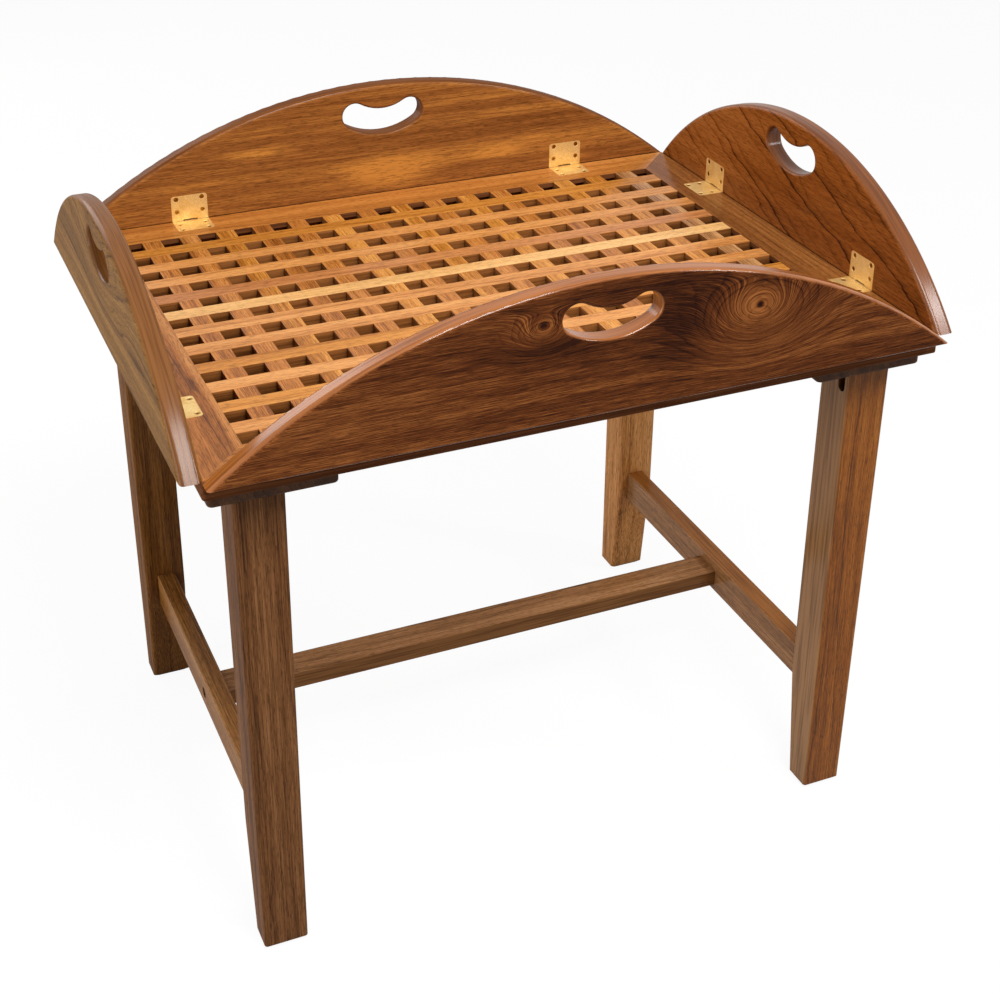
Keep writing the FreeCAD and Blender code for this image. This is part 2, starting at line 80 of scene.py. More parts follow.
def add(tree: Tree, kind: str, inputs: dict[str | int, Any] | None = None, stops: Stops = (),
        **settings: Any) -> bpy.types.Node:
    """Add a node, set its options, and fill or link its inputs.

    Args:
        tree: Node tree that gets the node.
        kind: Node type's name.
        inputs: Input names or numbers, each with a value or with the socket to link from.
        stops: Position and linear RGBA of each stop, where the node has a colour ramp.
        settings: Attributes of the node itself.

    Returns:
        The new node.
    """
    node = tree.nodes.new("ShaderNode" + kind)
    for name, value in settings.items():
        setattr(node, name, value)
    for key, value in (inputs or {}).items():
        if isinstance(value, Socket):
            tree.links.new(value, node.inputs[key])
        else:
            node.inputs[key].default_value = value
    for number, (position, colour) in enumerate(stops):
        elements = node.color_ramp.elements
        element = elements[number] if number < len(elements) else elements.new(position)
        element.position = position
        element.color = colour
    return node


def new_tree(name: str) -> tuple[bpy.types.Material, Tree]:
    """Start a material with an empty node tree.

    Args:
        name: Material's name.

    Returns:
        The material and its node tree.
    """
    material = bpy.data.materials.new(name)
    material.use_nodes = True
    material.node_tree.nodes.clear()
    return material, material.node_tree


def seen_rays(tree: Tree) -> Socket:
    """Tell the rays that show a surface from those that only carry its light to others.

    Args:
        tree: Node tree of the floor or of the world.

    Returns:
        1 for a ray from the camera, a gloss or a clear body, and 0 for any other.
    """
    path = add(tree, "LightPath").outputs
    seen = add(tree, "Math", {0: path["Is Camera Ray"], 1: path["Is Glossy Ray"]}, operation="MAXIMUM")
    seen = add(tree, "Math", {0: seen.outputs[0], 1: path["Is Transmission Ray"]}, operation="MAXIMUM")
    return seen.outputs[0]


class Grain(Enum):
    """Which object axes run along the grain, across it on the board's face, and through the board."""

    LENGTHWISE_FLAT = ("X", "Y", "Z")
    CROSSWISE_FLAT = ("Y", "X", "Z")
    LENGTHWISE_UPRIGHT = ("X", "Z", "Y")
    CROSSWISE_UPRIGHT = ("Y", "Z", "X")
    STANDING = ("Z", "X", "Y")


class Layer(Enum):
    """Noises that make up one board: a number that keeps each apart from the others, and its octaves."""

    WANDER = (1, 2.0)
    BAND = (2, 2.0)
    FIBRE = (3, 3.0)
    PORE = (4, 1.0)
    EDGE = (5, 2.0)
    WOBBLE = (6, 2.0)


@dataclass(frozen=True)
class Figure:
    """A spot in a board's figure; millimetres along and across the grain.

    rings is how far the growth lines swell there, which draws nested ovals, flow is how far the fibres
    give way round the spot, and lift is how much lighter the wood is there.
    """

    along: float
    across: float
    half_along: float
    half_across: float
    rings: float = 0.0
    flow: float = 0.0
    lift: float = 0.0


@dataclass(frozen=True)
class Teak:
    """Planed, oiled and varnished teak.

    Golden brown with dark growth lines, open pores that show as short dark dashes along the grain,
    slow drifts of tone from board to board, arrises made paler, partly as wear and partly as a painted
    highlight, painted shade in crevices where parts stand close, and a thin satin varnish. A board with an
    edge colour has its side faces in long smooth streaks of that colour, partly the sanded edges' own colour
    and partly painted light or shade by the way the faces turn, with their own varnish.
    """

    name: str
    dark: str
    middle: str
    light: str
    grain: Grain
    seed: float = 0.0
    figures: tuple[Figure, ...] = ()

    # Growth rings: their width, how far they wander and wobble, how they lean along and through the board
    ring_mm: float = 9.0
    wander_mm: float = 9.0
    wander_patch_mm: tuple[float, float] = (260.0, 34.0)
    wobble_mm: tuple[float, float] = (26.0, 9.0)
    wobble_rings: float = 0.5
    slope: float = 0.02
    through_share: float = 0.6
    line_depth: float = 0.30

    # Tone: shares of the slow bands and fibres, and where the three colours lie on it
    band: float = 1.0
    band_mm: tuple[float, float] = (600.0, 14.0)
    fibre: float = 0.9
    fibre_mm: tuple[float, float] = (45.0, 0.8)
    tone_ramp: tuple[float, float, float] = (0.10, 0.50, 0.90)

    # The real pores are about 0.3 mm wide and 4 mm long; they are drawn coarser, so that they show
    pore_mm: tuple[float, float] = (9.0, 0.7)
    pore_ramp: tuple[float, float] = (0.37, 0.46)
    pore_shade: float = 0.60
    relief_mm: float = 0.3
    relief_strength: float = 0.35

    # Wear and painted highlight: arrises made paler by the cosine to the rounded normal; painted shade by how
    # closed in a place is
    arris_mm: float = 1.2
    arris_cosines: tuple[float, float] = (0.72, 0.97)
    wear_and_highlight_share: float = 0.45
    # Painted shade: its reach, the openness where it is darkest and where it ends, and its dark tint
    painted_shade_mm: float = 4.0
    painted_shade_shut: float = 0.15
    painted_shade_open: float = 0.62
    painted_shade_tint: str = "#65594b"

    # Side faces: found by the normal's part through the board, with dark streaks of a share of their colour;
    # their colour is partly the sanded edges' own and partly painted light or shade by the way they face
    edge: str = ""
    edge_normals: tuple[float, float] = (0.62, 0.93)
    edge_streak_mm: tuple[float, float, float] = (90.0, 300.0, 2.2)
    edge_ramp: tuple[float, float] = (0.36, 0.58)
    edge_dark: tuple[float, float, float] = (0.6, 0.55, 0.5)
    edge_varnish: float = 0.35

    # Surface: roughness of the wood, from its dull fibres to its bright ones, and the varnish over it
    roughness: float = 0.45
    gloss_ramp: tuple[float, float] = (0.25, 0.75)
    gloss_spread: tuple[float, float] = (0.10, -0.06)
    varnish: float = 0.25
    varnish_roughness: float = 0.22
    ior: float = 1.5

    def board(self, tree: Tree) -> Socket:
        """Put object coordinates in order along, across and through the board.

        Args:
            tree: Material's node tree.

        Returns:
            The ordered coordinates.
        """
        place = add(tree, "TexCoord").outputs["Object"]
        split = add(tree, "SeparateXYZ", {"Vector": place})
        along, across, through = (split.outputs[axis] for axis in self.grain.value)
        return add(tree, "CombineXYZ", {"X": along, "Y": across, "Z": through}).outputs["Vector"]

    def streaks(self, tree: Tree, board: Socket, size: tuple[float, ...], layer: Layer) -> Socket:
        """Noise drawn out along the grain.

        Args:
            tree: Material's node tree.
            board: Coordinates along, across and through the board.
            size: Length and width of a streak, in mm, and its depth through the board where that differs.
            layer: Which of the board's noises this is.

        Returns:
            The noise, about 0.5 on average.
        """
        number, octaves = layer.value
        scale = tuple(1 / (length * MM) for length in (*size, size[-1])[:3])
        shift = tuple(self.seed * by_seed + number * by_layer for by_seed, by_layer in NOISE_SHIFT)
        moved = add(tree, "Mapping", {"Vector": board, "Location": shift, "Scale": scale}).outputs["Vector"]
        return add(tree, "TexNoise", {"Vector": moved, "Scale": 1.0, "Detail": octaves,
                                      "Roughness": NOISE_ROUGHNESS}).outputs["Fac"]

    def spot(self, tree: Tree, board: Socket, figure: Figure) -> Socket:
        """Bell over a figure: e to the power of minus the squared distance, in half sizes.

        Args:
            tree: Material's node tree.
            board: Coordinates along, across and through the board.
            figure: Place and half sizes of the bell.

        Returns:
            1 at the figure's middle, falling to 0 around it.
        """
        scale = (1 / (figure.half_along * MM), 1 / (figure.half_across * MM), 0.0)
        centre = (-figure.along / figure.half_along, -figure.across / figure.half_across, 0.0)
        near = add(tree, "Mapping", {"Vector": board, "Location": centre, "Scale": scale}).outputs["Vector"]
        far = add(tree, "VectorMath", {0: near, 1: near}, operation="DOT_PRODUCT").outputs["Value"]
        return add(tree, "Math", {0: math.exp(-1), 1: far}, operation="POWER").outputs[0]

    def flowing(self, tree: Tree, board: Socket, spots: list[Socket]) -> Socket:
        """Let the fibres give way across the grain at each figure.

        Args:
            tree: Material's node tree.
            board: Coordinates along, across and through the board.
            spots: Bell over each figure.

        Returns:
            The coordinates, moved across the grain.
        """
        for spot, figure in zip(spots, self.figures):
            if figure.flow:
                side = add(tree, "Math", {0: spot, 1: figure.flow * MM}, operation="MULTIPLY").outputs[0]
                step = add(tree, "CombineXYZ", {"Y": side}).outputs["Vector"]
                board = add(tree, "VectorMath", {0: board, 1: step}, operation="ADD").outputs["Vector"]
        return board

    def rings(self, tree: Tree, board: Socket, spots: list[Socket]) -> Socket:
        """Count of growth rings at a point: the distance across the grain over the ring width, with a
        slow wander along the board, a small wobble, and a swelling at each figure.

        Args:
            tree: Material's node tree.
            board: Coordinates along, across and through the board.
            spots: Bell over each figure.

        Returns:
            The count.
        """
        rate = 1 / (self.ring_mm * MM)
        rates = (self.slope * rate, rate, self.through_share * rate)
        count = add(tree, "VectorMath", {0: board, 1: rates}, operation="DOT_PRODUCT").outputs["Value"]
        wander = self.streaks(tree, board, self.wander_patch_mm, Layer.WANDER)
        wobble = self.streaks(tree, board, self.wobble_mm, Layer.WOBBLE)
        swells = [(wander, NOISE_GAIN * self.wander_mm / self.ring_mm), (wobble, self.wobble_rings)]
        swells += [(spot, figure.rings) for spot, figure in zip(spots, self.figures) if figure.rings]
        for swell, rings in swells:
            count = add(tree, "Math", {0: swell, 1: rings, 2: count}, operation="MULTIPLY_ADD").outputs[0]
        return count

    def growth_lines(self, tree: Tree, count: Socket) -> Socket:
        """Dark late wood at the start of each ring, fading through it, stronger in some years.

        Args:
            tree: Material's node tree.
            count: Count of growth rings.

        Returns:
            How dark the late wood is, from 0 to 1.
        """
        part = add(tree, "Math", {0: count}, operation="FRACT").outputs[0]
        year = add(tree, "Math", {0: count}, operation="FLOOR").outputs[0]
        luck = add(tree, "TexWhiteNoise", {"W": year}, noise_dimensions="1D").outputs["Value"]
        stops = tuple((position, grey(shade)) for position, shade in RING_SHADES)
        late = add(tree, "ValToRGB", {"Fac": part}, stops=stops).outputs["Color"]
        return add(tree, "Math", {0: late, 1: luck}, operation="MULTIPLY").outputs[0]

    def tone(self, tree: Tree, bands: Socket, fibres: Socket, lines: Socket, spots: list[Socket]) -> Socket:
        """Tone of the bare wood: bands and fibres about 0.5, less at growth lines, and changed at figures.

        Args:
            tree: Material's node tree.
            bands: Noise of the slow bands.
            fibres: Noise of the fibres.
            lines: Darkness of the growth lines.
            spots: Bell over each figure.

        Returns:
            The tone, dark to light.
        """
        start = NOISE_MIDDLE * (1 - self.band - self.fibre)
        tone = add(tree, "Math", {0: fibres, 1: self.fibre, 2: start}, operation="MULTIPLY_ADD").outputs[0]
        parts = [(bands, self.band), (lines, -self.line_depth)]
        parts += [(spot, figure.lift) for spot, figure in zip(spots, self.figures) if figure.lift]
        for part, share in parts:
            tone = add(tree, "Math", {0: part, 1: share, 2: tone}, operation="MULTIPLY_ADD").outputs[0]
        return tone

    def pits(self, tree: Tree, flow: Socket) -> Socket:
        """Open pores.

        Args:
            tree: Material's node tree.
            flow: Coordinates that follow the fibres.

        Returns:
            Dark grey in a pore and 1 beside it.
        """
        pores = self.streaks(tree, flow, self.pore_mm, Layer.PORE)
        inside, beside = self.pore_ramp
        stops = ((inside, grey(self.pore_shade)), (beside, grey(1.0)))
        return add(tree, "ValToRGB", {"Fac": pores}, stops=stops).outputs["Color"]

    def worn_and_highlit_arrises(self, tree: Tree) -> Socket:
        """Find the sharp arrises, which get paler wear and a painted highlight, by how far the rounded normal
        leaves the true one.

        Args:
            tree: Material's node tree.

        Returns:
            1 at a sharp arris and 0 on the flat.
        """
        rounded = add(tree, "Bevel", {"Radius": self.arris_mm * MM}, samples=NORMAL_RAYS).outputs["Normal"]
        true = add(tree, "NewGeometry").outputs["Normal"]
        level = add(tree, "VectorMath", {0: rounded, 1: true}, operation="DOT_PRODUCT").outputs["Value"]
        sharp, flat = self.arris_cosines
        stops = ((sharp, grey(1.0)), (flat, grey(0.0)))
        return add(tree, "ValToRGB", {"Fac": level}, stops=stops).outputs["Color"]

    def painted_crevice_shade(self, tree: Tree) -> Socket:
        """Paint shade where other wood or metal stands close: in crevices, in the grating's cells and under
        the tray.

        Args:
            tree: Material's node tree.

        Returns:
            The painted shade's dark tint in a crevice and 1 in the open.
        """
        near = add(tree, "AmbientOcclusion", {"Distance": self.painted_shade_mm * MM},
                   samples=CREVICE_RAYS).outputs["AO"]
        stops = ((self.painted_shade_shut, linear(self.painted_shade_tint)), (self.painted_shade_open, grey(1.0)))
        return add(tree, "ValToRGB", {"Fac": near}, stops=stops).outputs["Color"]

    def face_colour(self, tree: Tree, tone: Socket, pits: Socket) -> Socket:
        """Colour of the board's faces: its tone, dark in the pores, and paler at the arrises, partly as wear
        and partly as a painted highlight.

        Args:
            tree: Material's node tree.
            tone: Tone of the bare wood.
            pits: Shade of the pores.

        Returns:
            The colour.
        """
        colours = (self.dark, self.middle, self.light)
        stops = tuple((position, linear(colour)) for position, colour in zip(self.tone_ramp, colours))
        wood = add(tree, "ValToRGB", {"Fac": tone}, stops=stops).outputs["Color"]
        pored = add(tree, "VectorMath", {0: wood, 1: pits}, operation="MULTIPLY").outputs["Vector"]
        # Arrises made paler toward the light colour: partly wear, partly a painted highlight
        wear_and_highlight_mask = self.worn_and_highlit_arrises(tree)
        wear_and_highlight = add(tree, "Math", {0: wear_and_highlight_mask, 1: self.wear_and_highlight_share}, operation="MULTIPLY").outputs[0]
        worn_and_highlit = add(tree, "Mix", {MIX_SHARE: wear_and_highlight, MIX_FIRST: pored, MIX_SECOND: linear(self.light)},
                     data_type="RGBA")
        return worn_and_highlit.outputs[MIX_RESULT]

    def edge_share(self, tree: Tree) -> Socket:
        """Find the board's edges by the normal's part through the board.

        Args:
            tree: Material's node tree.

        Returns:
            1 on the edges and 0 on the faces.
        """
        normal = add(tree, "TexCoord").outputs["Normal"]
        part = add(tree, "SeparateXYZ", {"Vector": normal}).outputs[self.grain.value[2]]
        size = add(tree, "Math", {0: part}, operation="ABSOLUTE").outputs[0]
        edge, face = self.edge_normals
        stops = ((edge, grey(1.0)), (face, grey(0.0)))
        return add(tree, "ValToRGB", {"Fac": size}, stops=stops).outputs["Color"]

    def edge_colour(self, tree: Tree, board: Socket) -> Socket:
        """Colour of the board's side faces: long smooth streaks of the edge colour and a darker one, partly
        the sanded edges' own colour and partly painted light or shade.

        Args:
            tree: Material's node tree.
            board: Coordinates along, across and through the board.

        Returns:
            The colour.
        """
        streak = self.streaks(tree, board, self.edge_streak_mm, Layer.EDGE)
        pale = linear(self.edge)
        red, green, blue = (share * level for share, level in zip(self.edge_dark, pale))
        dark_at, pale_at = self.edge_ramp
        stops = ((dark_at, (red, green, blue, 1.0)), (pale_at, pale))
        return add(tree, "ValToRGB", {"Fac": streak}, stops=stops).outputs["Color"]

    def material(self) -> bpy.types.Material:
        """Build the finish's node tree.

        Returns:
            The material.
        """
        material, tree = new_tree(self.name)
        board = self.board(tree)
        spots = [self.spot(tree, board, figure) for figure in self.figures]
        flow = self.flowing(tree, board, spots)
        lines = self.growth_lines(tree, self.rings(tree, board, spots))
        bands = self.streaks(tree, flow, self.band_mm, Layer.BAND)
        fibres = self.streaks(tree, flow, self.fibre_mm, Layer.FIBRE)
        pits = self.pits(tree, flow)
        colour = self.face_colour(tree, self.tone(tree, bands, fibres, lines, spots), pits)

        # Painted shade where other parts stand close: it thins the varnish here and darkens the colour below
        unshaded_share = self.painted_crevice_shade(tree)
        coat = add(tree, "Math", {0: unshaded_share, 1: self.varnish}, operation="MULTIPLY").outputs[0]
        # Side faces take the edge colour: partly the sanded edges' own colour, partly painted light or shade
        if self.edge:
            share = self.edge_share(tree)
            sanded_and_lit_edges = self.edge_colour(tree, board)
            colour = add(tree, "Mix", {MIX_SHARE: share, MIX_FIRST: colour, MIX_SECOND: sanded_and_lit_edges},
                         data_type="RGBA").outputs[MIX_RESULT]
            extra = self.edge_varnish - self.varnish
            coat = add(tree, "Math", {0: share, 1: extra, 2: coat}, operation="MULTIPLY_ADD").outputs[0]
        # Painted shade darkens the colour in crevices
        colour = add(tree, "VectorMath", {0: colour, 1: unshaded_share}, operation="MULTIPLY").outputs["Vector"]

        stops = tuple((position, grey(self.roughness + spread))
                      for position, spread in zip(self.gloss_ramp, self.gloss_spread))
        gloss = add(tree, "ValToRGB", {"Fac": fibres}, stops=stops).outputs["Color"]
        relief = add(tree, "Math", {0: pits, 1: fibres}, operation="ADD").outputs[0]
        bump = add(tree, "Bump", {"Height": relief, "Strength": self.relief_strength,
                                  "Distance": self.relief_mm * MM}).outputs["Normal"]
        # The varnish alone gives the gloss, so that the bare wood keeps its deep colour
        shader = add(tree, "BsdfPrincipled", {
            "Base Color": colour, "Roughness": gloss, "IOR": self.ior, "Specular IOR Level": 0.0,
            "Coat Weight": coat, "Coat Roughness": self.varnish_roughness, "Coat IOR": self.ior,
            "Normal": bump})
        add(tree, "OutputMaterial", {"Surface": shader.outputs["BSDF"]})
        return material


@dataclass(frozen=True)
class Metal:
    """Cast and brushed metal with a fine satin grain: small specks of rougher, duller surface, and painted
    shade, near black, in its slits and recesses."""

    name: str
    bright: str
    dull: str
    roughness: float
    speck_mm: float = 1.1
    speck_octaves: float = 3.0
    cloud_mm: float = 14.0
    cloud_octaves: float = 2.0
    colour_ramp: tuple[float, float] = (0.12, 0.36)
    gloss_ramp: tuple[float, float] = (0.10, 0.40)
    gloss_spread: tuple[float, float] = (0.12, -0.06)
    relief_mm: float = 0.05
    relief_strength: float = 0.15
    recess_mm: float = 1.2
    recess_ramp: tuple[float, float] = (0.1, 0.65)
    recess_shade: float = 0.08

    def painted_recess_shade(self, tree: Tree) -> Socket:
        """Paint near black shade into the slits and recesses.

        Args:
            tree: Material's node tree.

        Returns:
            Near black in a recess and 1 in the open.
        """
        near = add(tree, "AmbientOcclusion", {"Distance": self.recess_mm * MM},
                   samples=CREVICE_RAYS).outputs["AO"]
        shut, wide = self.recess_ramp
        stops = ((shut, grey(self.recess_shade)), (wide, grey(1.0)))
        return add(tree, "ValToRGB", {"Fac": near}, stops=stops).outputs["Color"]

    def material(self) -> bpy.types.Material:
        """Build the finish's node tree.

        Returns:
            The material.
        """
        material, tree = new_tree(self.name)
        place = add(tree, "TexCoord").outputs["Object"]
        specks = add(tree, "TexNoise", {"Vector": place, "Scale": 1 / (self.speck_mm * MM),
                                        "Detail": self.speck_octaves}).outputs["Fac"]
        clouds = add(tree, "TexNoise", {"Vector": place, "Scale": 1 / (self.cloud_mm * MM),
                                        "Detail": self.cloud_octaves}).outputs["Fac"]
        mixed = add(tree, "Math", {0: specks, 1: clouds}, operation="MULTIPLY").outputs[0]
        dull_at, bright_at = self.colour_ramp
        stops = ((dull_at, linear(self.dull)), (bright_at, linear(self.bright)))
        colour = add(tree, "ValToRGB", {"Fac": mixed}, stops=stops).outputs["Color"]
        # Painted shade darkens the slits and recesses to near black
        painted_recess_shade = self.painted_recess_shade(tree)
        colour = add(tree, "VectorMath", {0: colour, 1: painted_recess_shade}, operation="MULTIPLY").outputs["Vector"]
        stops = tuple((position, grey(self.roughness + spread))
                      for position, spread in zip(self.gloss_ramp, self.gloss_spread))
        gloss = add(tree, "ValToRGB", {"Fac": mixed}, stops=stops).outputs["Color"]
        bump = add(tree, "Bump", {"Height": specks, "Strength": self.relief_strength,
                                  "Distance": self.relief_mm * MM}).outputs["Normal"]
        shader = add(tree, "BsdfPrincipled", {"Base Color": colour, "Metallic": 1.0, "Roughness": gloss,
                                              "Normal": bump})
        add(tree, "OutputMaterial", {"Surface": shader.outputs["BSDF"]})
        return material


@dataclass(frozen=True)
class PaleFloor:
    """Matt floor: white to the eye and in gloss, darker where the table's shadow falls, and a plain
    mid grey in the light that it throws back."""

    name: str = "matt_white_floor"
    seen_colour: str = "#ffffff"
    bounce_colour: str = "#a8a8a8"
    shadow_share: float = 0.07

    def material(self) -> bpy.types.Material:
        """Build the finish's node tree.

        Returns:
            The material.
        """
        material, tree = new_tree(self.name)
        seen = seen_rays(tree)
        tint = add(tree, "Mix", {MIX_SHARE: seen, MIX_FIRST: linear(self.bounce_colour),
                                 MIX_SECOND: linear(self.seen_colour)}, data_type="RGBA")
        paint = add(tree, "BsdfDiffuse", {"Color": tint.outputs[MIX_RESULT]}).outputs["BSDF"]
        glow = add(tree, "Emission", {"Color": grey(1.0), "Strength": 1.0}).outputs["Emission"]
        share = add(tree, "Math", {0: seen, 1: 1 - self.shadow_share}, operation="MULTIPLY").outputs[0]
        mixed = add(tree, "MixShader", {0: share, 1: paint, 2: glow}).outputs["Shader"]
        add(tree, "OutputMaterial", {"Surface": mixed})
        return material


def dress(node: bpy.types.Object, material: bpy.types.Material, soften_mm: float = 0.0) -> None:
    """Give a CAD node its finish.

    Args:
        node: CAD node's object.
        material: Finish for the whole node.
        soften_mm: Width of eased arrises, or 0 to leave the node's edges as they are.
    """
    node.data.materials.clear()
    node.data.materials.append(material)
    if soften_mm:
        weld = node.modifiers.new("weld", "WELD")
        weld.merge_threshold = WELD_MM * MM
        ease = node.modifiers.new("ease", "BEVEL")
        ease.width = soften_mm * MM
        ease.segments = EASE_SEGMENTS
        ease.limit_method = "ANGLE"
        ease.angle_limit = EASE_ANGLE
        ease.harden_normals = True
    LOG.info("dressed %s in %s", node.name, material.name)


class SlatTone(Enum):
    """Tones that the grating's slats come in: dark line, middle and light colour."""

    COPPER = ("#84491a", "#b97130", "#d28c47")
    AMBER = ("#9c5a1a", "#cd8537", "#e29f50")
    HONEY = ("#ad6a2f", "#d8914e", "#eaad6a")
    STRAW = ("#c08545", "#eab26d", "#f6ca89")
    RUSSET = ("#95562a", "#c68048", "#da9a60")
    ASHEN = ("#84552f", "#bd8550", "#d6a36c")


@dataclass
class Grating:
    """Floor of the tray: long slats over cross slats, halved into each other."""

    nodes: Nodes
    ease_mm: float = 0.5
    # Painted shade in the cells: its reach and the openness where it ends, darkening the slats' walls
    cell_shade_mm: float = 22.0
    cell_shade_open: float = 0.85
    wall: str = "#bf7a41"
    varnish: float = 0.45
    wall_varnish: float = 0.05
    long_contrast: float = 0.9
    cross_contrast: float = 1.5
    seed_step: float = 2.3
    long_tones: tuple[SlatTone, ...] = (
        SlatTone.AMBER, SlatTone.HONEY, SlatTone.HONEY, SlatTone.RUSSET, SlatTone.STRAW, SlatTone.HONEY,
        SlatTone.HONEY, SlatTone.AMBER, SlatTone.HONEY, SlatTone.AMBER, SlatTone.HONEY)
    cross_tones: tuple[SlatTone, ...] = (
        SlatTone.COPPER, SlatTone.COPPER, SlatTone.AMBER, SlatTone.COPPER, SlatTone.COPPER, SlatTone.AMBER,
        SlatTone.COPPER, SlatTone.AMBER, SlatTone.COPPER, SlatTone.AMBER, SlatTone.COPPER, SlatTone.COPPER,
        SlatTone.AMBER, SlatTone.AMBER, SlatTone.ASHEN)

    def dress(self) -> None:
        """Finish every slat by its own tone, each with its own grain."""
        rows = (("long_slat", self.long_tones, Grain.LENGTHWISE_FLAT, self.long_contrast),
                ("cross_slat", self.cross_tones, Grain.CROSSWISE_FLAT, self.cross_contrast))
        for stem, tones, grain, contrast in rows:
            for number, tone in enumerate(tones, 1):
                name = f"{stem}_{number:02d}"
                # Each slat's walls get painted shade down into the cells
                finish = Teak(
                    f"varnished_teak_{name}", *tone.value, grain, seed=number * self.seed_step + len(stem),
                    band=contrast, fibre=contrast, varnish=self.varnish, edge=self.wall,
                    edge_varnish=self.wall_varnish, painted_shade_mm=self.cell_shade_mm, painted_shade_open=self.cell_shade_open)
                dress(self.nodes[name], finish.material(), self.ease_mm)


@dataclass
class TrayFrame:
    """Rails round the grating, and the runners, screws, pegs and hinge halves under and on them."""

    nodes: Nodes
    brass: bpy.types.Material
    screw: bpy.types.Material
    steel: bpy.types.Material
    # Painted shade on the rails' side faces: dark and dull towards the grating's cells and under the front
    # leaf
    rail_shaded_sides: str = "#744527"
    rail_varnish: float = 0.4
    rail_shaded_side_varnish: float = 0.05
    first_rail_seed: int = 40
    first_runner_seed: int = 50
    dowel_seed: int = 60

    def dress(self) -> None:
        """Finish the rails, runners and fixings."""
        self.dress_rails()
        self.dress_runners()
        self.dress_fixings()

    def dress_rails(self) -> None:
        """Finish each rail in its own tone; its side faces, towards the grating's cells and under the front
        leaf, get a dark dull painted shade.
        """
        rails = (("rail_back", Grain.LENGTHWISE_FLAT, ("#925423", "#c27a36", "#d8924b")),
                 ("rail_front", Grain.LENGTHWISE_FLAT, ("#7d4618", "#b06b2c", "#c98540")),
                 ("rail_left", Grain.CROSSWISE_FLAT, ("#5f3214", "#a8662f", "#cc8d50")),
                 ("rail_right", Grain.CROSSWISE_FLAT, ("#5f3413", "#8d5527", "#ab733a")))
        for seed, (name, grain, colours) in enumerate(rails, self.first_rail_seed):
            finish = Teak(f"varnished_teak_{name}", *colours, grain, seed=seed, varnish=self.rail_varnish,
                          edge=self.rail_shaded_sides, edge_varnish=self.rail_shaded_side_varnish)
            dress(self.nodes[name], finish.material())

    def dress_runners(self) -> None:
        """Finish the runners in oiled teak painted near black, a painted shade for the tray's shadowed
        underside.
        """
        # Painted shade: the runners' colours are near black for the shadow under the tray
        colours = ("#2e1b0c", "#51321b", "#73492a")
        for seed, name in enumerate(("runner_left", "runner_right"), self.first_runner_seed):
            finish = Teak(f"oiled_teak_{name}", *colours, Grain.CROSSWISE_FLAT, seed=seed)
            dress(self.nodes[name], finish.material())

    def dress_fixings(self) -> None:
        """Finish the pegs and splines in pale even beech, and the screws and hinge halves in their metals."""
        colours = ("#9a7048", "#bb9060", "#cfa878")
        dowel = Teak("beech_dowel", *colours, Grain.STANDING, seed=self.dowel_seed).material()
        for name in ("locating_pegs", "mitre_splines"):
            dress(self.nodes[name], dowel)
        dress(self.nodes["runner_screws"], self.steel)
        dress(self.nodes["hinge_tray_plates"], self.brass)
        dress(self.nodes["hinge_pins"], self.brass)
        dress(self.nodes["hinge_tray_screws"], self.screw)


@dataclass
class Leaf:
    """Arched leaf with a handle hole, its hinge plates and their screws."""

    nodes: Nodes
    side: str
    finish: Teak
    brass: bpy.types.Material
    screw: bpy.types.Material

    def dress(self) -> None:
        """Finish the board and its brass."""
        dress(self.nodes[f"leaf_{self.side}"], self.finish.material())
        dress(self.nodes[f"leaf_plates_{self.side}"], self.brass)
        dress(self.nodes[f"leaf_screws_{self.side}"], self.screw)


def leaf_finishes() -> dict[str, Teak]:
    """Finish of each leaf, with its own figure.

    The front leaf is dark, with two knots, each a swirl of rings about a dark core. The back leaf is plain
    with a few pale patches, the right one has thin slanting lines, and the left one a broad soft swirl.

    Returns:
        Leaf side to finish.
    """
    upright = Grain.LENGTHWISE_UPRIGHT
    endways = Grain.CROSSWISE_UPRIGHT
    front_figures = (
        Figure(137, 586, 50, 32, rings=11.0, flow=52.0, lift=0.1), Figure(137, 599, 3.5, 3, lift=-0.8),
        Figure(132, 600, 20, 12, lift=0.12), Figure(-62, 608, 24, 15, rings=6.0, flow=24.0, lift=0.2),
        Figure(-62, 614, 3, 2.5, lift=-0.7), Figure(62, 590, 30, 36, lift=-0.35),
        Figure(-45, 592, 60, 14, lift=-0.3), Figure(-250, 560, 120, 60, lift=0.15),
        Figure(70, 635, 190, 22, lift=-0.25))
    back_figures = (
        Figure(5, 548, 46, 13, lift=0.7), Figure(-140, 587, 40, 5, lift=0.5),
        Figure(130, 553, 26, 6, lift=0.5))
    right_figures = (Figure(170, 570, 130, 80, lift=0.3),)
    left_figures = (Figure(0, 605, 80, 40, rings=4.0, flow=30.0),)
    # Edge colours stand partly for the sanded edges and partly for painted light and shade: the front leaf's
    # edge is lighter where its top faces the lamps, the back leaf's darker where its top faces away
    return {
        "front": Teak(
            "varnished_teak_front_leaf", "#2a1005", "#603113", "#955a2c", upright, seed=70, ring_mm=14.0,
            wander_mm=6.0, line_depth=0.34, band=0.65, fibre=1.7, fibre_mm=(30.0, 0.6), varnish=0.10,
            edge="#9c5c28", edge_varnish=0.85, varnish_roughness=0.14, figures=front_figures),
        "back": Teak(
            "varnished_teak_back_leaf", "#653612", "#8f5728", "#c28038", upright, seed=71, line_depth=0.20,
            edge="#744421", edge_varnish=0.15, figures=back_figures),
        "right": Teak(
            "varnished_teak_right_leaf", "#44210a", "#8c4e1d", "#aa6931", endways, seed=72, ring_mm=13.0,
            wander_mm=7.0, slope=-0.40, line_depth=0.6, band=0.6, fibre=0.7, varnish=0.2, edge="#7a4620",
            edge_varnish=0.6, figures=right_figures),
        "left": Teak(
            "varnished_teak_left_leaf", "#5c3b17", "#8b602b", "#a97d45", endways, seed=73, wander_mm=12.0,
            line_depth=0.5, varnish=0.13, edge="#7d4f28", figures=left_figures),
    }


